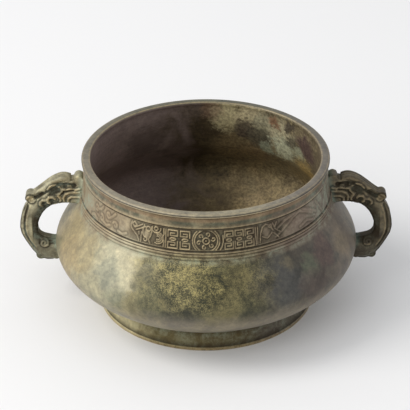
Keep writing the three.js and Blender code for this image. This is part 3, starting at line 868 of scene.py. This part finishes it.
def cast_handle():
    bpy.ops.object.select_all(action="DESELECT")
    bpy.ops.mesh.primitive_plane_add(size=mm, location=(0, 0, 0))
    body = bpy.context.object
    bpy.ops.object.mode_set(mode="EDIT")
    bpy.ops.mesh.merge(type="CENTER")
    bpy.ops.transform.translate(value=(loop_outline[0][0] * mm, -cheek * mm, loop_outline[0][1] * mm))
    for (x, z), (next_x, next_z) in zip(loop_outline, loop_outline[1:]):
        bpy.ops.mesh.extrude_region_move(
            TRANSFORM_OT_translate={"value": ((next_x - x) * mm, 0, (next_z - z) * mm)}
        )
    bpy.ops.mesh.select_all(action="SELECT")
    bpy.ops.mesh.edge_face_add()
    bpy.ops.mesh.extrude_region_move(TRANSFORM_OT_translate={"value": (0, 2 * cheek * mm, 0)})
    bpy.ops.mesh.select_all(action="SELECT")
    bpy.ops.mesh.normals_make_consistent(inside=False)
    bpy.ops.object.mode_set(mode="OBJECT")
    crest = [(78.2, 77.8, 1.3), (80.6, 78.8, 1.5), (84.2, 78.4, 1.6), (88.6, 76.2, 1.6), (92.6, 73, 1.6),
             (96.6, 69.6, 1.6), (100.5, 67.1, 1.4), (102.6, 66, 1.2)]
    parts = [body]
    parts += [bent_rod("crest_rib", crest, side) for side in (-rib_apart, 0, rib_apart)]
    parts.append(turned_rod("ear", 2.9, 8, 73.3, 77.8))
    parts.append(turned_rod("knob", 3.1, 7.8, *knob_place))
    parts.append(turned_rod("hook", 2.9, 7.6, 97.4, 27.5))
    bpy.ops.object.select_all(action="DESELECT")
    for part in parts:
        part.select_set(True)
    bpy.context.view_layer.objects.active = body
    bpy.ops.object.join()
    bpy.ops.object.transform_apply(location=True, rotation=True, scale=True)
    fused = body.modifiers.new("fused", "REMESH")
    fused.mode = "VOXEL"
    fused.voxel_size = remesh_grain * mm
    bpy.ops.object.modifier_apply(modifier="fused")
    eased = body.modifiers.new("eased", "SMOOTH")
    eased.factor = 0.5
    eased.iterations = 4
    bpy.ops.object.modifier_apply(modifier="eased")
    return body


def chase_handle(body):
    """Cuts and raises the lines on both cheeks, bevels the loop's outer edge and marks the green joint."""
    points = points_of(body)
    flat = points[:, [0, 2]]
    side = np.sign(points[:, 1])
    on_cheek = np.clip((np.abs(points[:, 1]) - 2.6) / 1.2, 0, 1)
    wear_dirt_and_shade = np.zeros(len(points))
    _, from_rim = nearness(flat, [outer_edge], 1)
    _, from_hole = nearness(flat, [hole_edge], 1)
    loop = points[:, 2] < 62
    slim = 2.3 * np.clip(1 - from_rim / 2.6, 0, 1) ** 1.2 + 0.9 * np.clip(1 - from_hole / 1.5, 0, 1) ** 1.5
    slim += 1.5 * np.clip(1 - from_hole / 6, 0, 1) * loop
    height = -slim
    raised = [
        [(72.8, 70.4), (78.8, 70.2), (81.2, 69), (82.4, 66.8), (82, 64.8)],
        [(72.8, 67.2), (77.6, 67.4), (79.6, 66.2), (79.8, 64.4)],
        [(85.4, 68), (84.2, 66.8), (84, 65.2), (84.8, 63.6)],
        [(87.4, 66), (88.6, 67.2), (90.6, 67.2), (91.8, 65.8), (91.6, 63.8), (90, 62.6)],
        [(93, 65.2), (94.6, 65.2), (96, 64), (96, 62), (94.6, 60.6)],
        arc(4.1, 87.2, 70.7, 172, -158, 12),
        arc(4.1, 86.2, 73.2, 215, 60, 8),
        [(72.6, 72.6), (75.4, 71.9), (78.4, 72.6), (80.5, 71.8), (82.6, 72.4)],
        scroll(*knob_place, 2.5, 0.4, 200, 500, 20),
        scroll(95, 36.4, 2.9, 0.5, 60, 520, 26),
    ]
    arris = [[(102, 60.8), (103.7, 55.6), (104.6, 50), (104.7, 46), (104.1, 42), (102.3, 38), (99.8, 34)]]
    cut = [
        [(76.4, 71.8), (81.8, 71.2), (83.6, 69.2)],
        [(83.6, 64), (87.4, 63.6), (92, 62), (95.6, 59)],
        [(97.4, 27.3), (97.5, 27.3)],
        [(103.3, 60.9), (105, 55.6), (105.9, 50), (106, 46), (105.3, 42), (103.4, 37.6), (100.8, 33.4)],
    ]
    # The groove under the crest is cut into the cheek and painted dark as the crest's shadow (painted
    # shade).
    under_crest = [[(77.4, 75.4), (80.5, 76), (84.6, 75.3), (88.8, 73), (92.8, 70), (97, 66.9), (99, 66)]]
    line, from_line = nearness(flat, raised, 0.85)
    edge, _ = nearness(flat, arris, 0.8)
    groove, _ = nearness(flat, cut, 0.75)
    deep, _ = nearness(flat, under_crest, 0.95)
    crown = np.clip(line * 1.8, 0, 1)
    trench = np.clip(groove * 1.7, 0, 1)
    shaded_gash = np.clip(deep * 1.5, 0, 1)
    beside = np.clip(1 - (from_line - 0.7) / 1.3, 0, 1) * (crown < 0.1)
    height += 0.8 * crown + 0.3 * edge - 0.9 * trench - 1.2 * shaded_gash - 0.35 * beside
    # Dark values darken the grooves, pits, eye and the ground beside the raised lines; under the crest this
    # darkening is painted shade.
    wear_dirt_and_shade += 0.5 * crown + 0.6 * edge - 1.3 * trench - 2 * shaded_gash - 1.3 * beside
    # The cheek is darkened towards the hole, partly patina and partly painted shade inside the loop.
    wear_dirt_and_shade += 0.25 * np.clip(1 - from_rim / 1.6, 0, 1) - 1.2 * np.clip(1.2 - from_hole / 5.5, 0, 1) * loop
    pits = ((81.2, 74.6, 1.2, 1.5), (76, 74.8, 1.25, 1.5), (89.2, 65, 1.1, 1.4), (94, 63, 0.8, 1))
    for x, z, reach, depth in pits:
        pit = np.clip(1.4 - np.hypot(flat[:, 0] - x, flat[:, 1] - z) / reach, 0, 1)
        height -= depth * pit
        wear_dirt_and_shade -= 1.6 * pit
    eye_x, eye_z, eye_half_length, eye_half_width = 86.9, 70.8, 3.8, 1.9
    tilt = math.radians(-34)
    out_from_eye = flat[:, 0] - eye_x
    up_from_eye = flat[:, 1] - eye_z
    along = out_from_eye * math.cos(tilt) + up_from_eye * math.sin(tilt)
    across = up_from_eye * math.cos(tilt) - out_from_eye * math.sin(tilt)
    eye = np.clip(1.45 - np.hypot(along / eye_half_length, across / eye_half_width), 0, 1)
    height -= 1.3 * eye
    wear_dirt_and_shade -= 1.6 * eye
    points[:, 1] += side * height * on_cheek
    wear_dirt_and_shade *= on_cheek
    upper = (points[:, 2] > 66) & (np.abs(points[:, 1]) > 3.9)
    # The upper head is made lighter; the hole's inner wall is darkened, partly as painted shade.
    wear_dirt_and_shade += 0.35 * upper - 0.5 * ((from_hole < 1.6) & (on_cheek < 0.5))
    surface = np.array([belly_at(z) if z < shoulder_height else neck_at(z) for z in points[:, 2]])
    from_basin = np.hypot(points[:, 0], points[:, 1]) - surface
    joint = np.clip(1 - from_basin / 3.2, 0, 1)
    flare = np.clip(1 - from_basin / 1.6, 0, 1) ** 2
    points[:, 1] += side * 0.5 * flare * (np.abs(points[:, 1]) > 1.5)
    set_points(body, points)
    paint(body, "wear_dirt_and_shade", np.clip(wear_dirt_and_shade, -1, 1))
    paint(body, "joint", joint)


def handle_finish(name, pale, dark, green, greening, most_wear):
    """Patina for one handle; the one in the bowl's shadow is browner, less green and less rubbed, and its
    darker colours are partly painted shade.
    """
    made, tree, shader, where, height_in = finish_of(name, 0.3)
    mottle = ranged(tree, noise(tree, where, 95, 4, 0.6, 0.5), 0.38, 0.62)
    ground = mixed(tree, mottle, (*dark, 1), (*pale, 1))
    up = axes_of(tree, where)[2]
    ground = mixed(tree, ranged(tree, up, 0.044, 0.032, 0, 0.85), ground, (*dark, 1))
    wear_dirt_and_shade = painted(tree, "wear_dirt_and_shade")
    joint = painted(tree, "joint")
    hollows = ranged(tree, wear_dirt_and_shade, -0.1, -0.9, 0, 0.5 * greening)
    at_foot = ranged(tree, up, 0.037, 0.029, 0, 0.8 * greening)
    greens = plus(tree, plus(tree, joint, hollows), at_foot)
    # Capped wear: its dark values still carry the dirt and the painted shade.
    rubbed = maths(tree, "MINIMUM", wear_dirt_and_shade, most_wear)
    skin = skin_of(tree, ground, where, rubbed, handle_speckle, greens)
    colour = mixed(tree, times(tree, joint, 0.55), skin["Color"], (*green, 1))
    tree.links.new(colour, shader.inputs["Base Color"])
    tree.links.new(skin["Roughness"], shader.inputs["Roughness"])
    tree.links.new(skin["Metal"], shader.inputs["Metallic"])
    tree.links.new(skin["Height"], height_in)
    return made


right = cast_handle()
right.name = "beast_handle_right"
chase_handle(right)
for polygon in right.data.polygons:
    polygon.use_smooth = True
left = right.copy()
left.data = right.data.copy()
left.name = "beast_handle_left"
left.data.transform(Matrix.Rotation(math.pi, 4, "Z"))
bpy.context.scene.collection.objects.link(left)
left.data.materials.append(handle_finish(
    "left_handle_patina", pale=(0.5, 0.47, 0.335), dark=(0.17, 0.15, 0.1), green=(0.33, 0.38, 0.28),
    greening=1, most_wear=1))
# The right handle's darker pale and dark colours are partly its browner patina, partly painted shade from
# the bowl.
right.data.materials.append(handle_finish(
    "right_handle_patina_and_painted_shade", pale=(0.13, 0.11, 0.078), dark=(0.06, 0.048, 0.037),
    green=(0.12, 0.17, 0.14), greening=0.3, most_wear=0.5))
for handle, stands_for in ((left, "handle_left"), (right, "handle_right")):
    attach(handle, "root")
    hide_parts(stands_for)
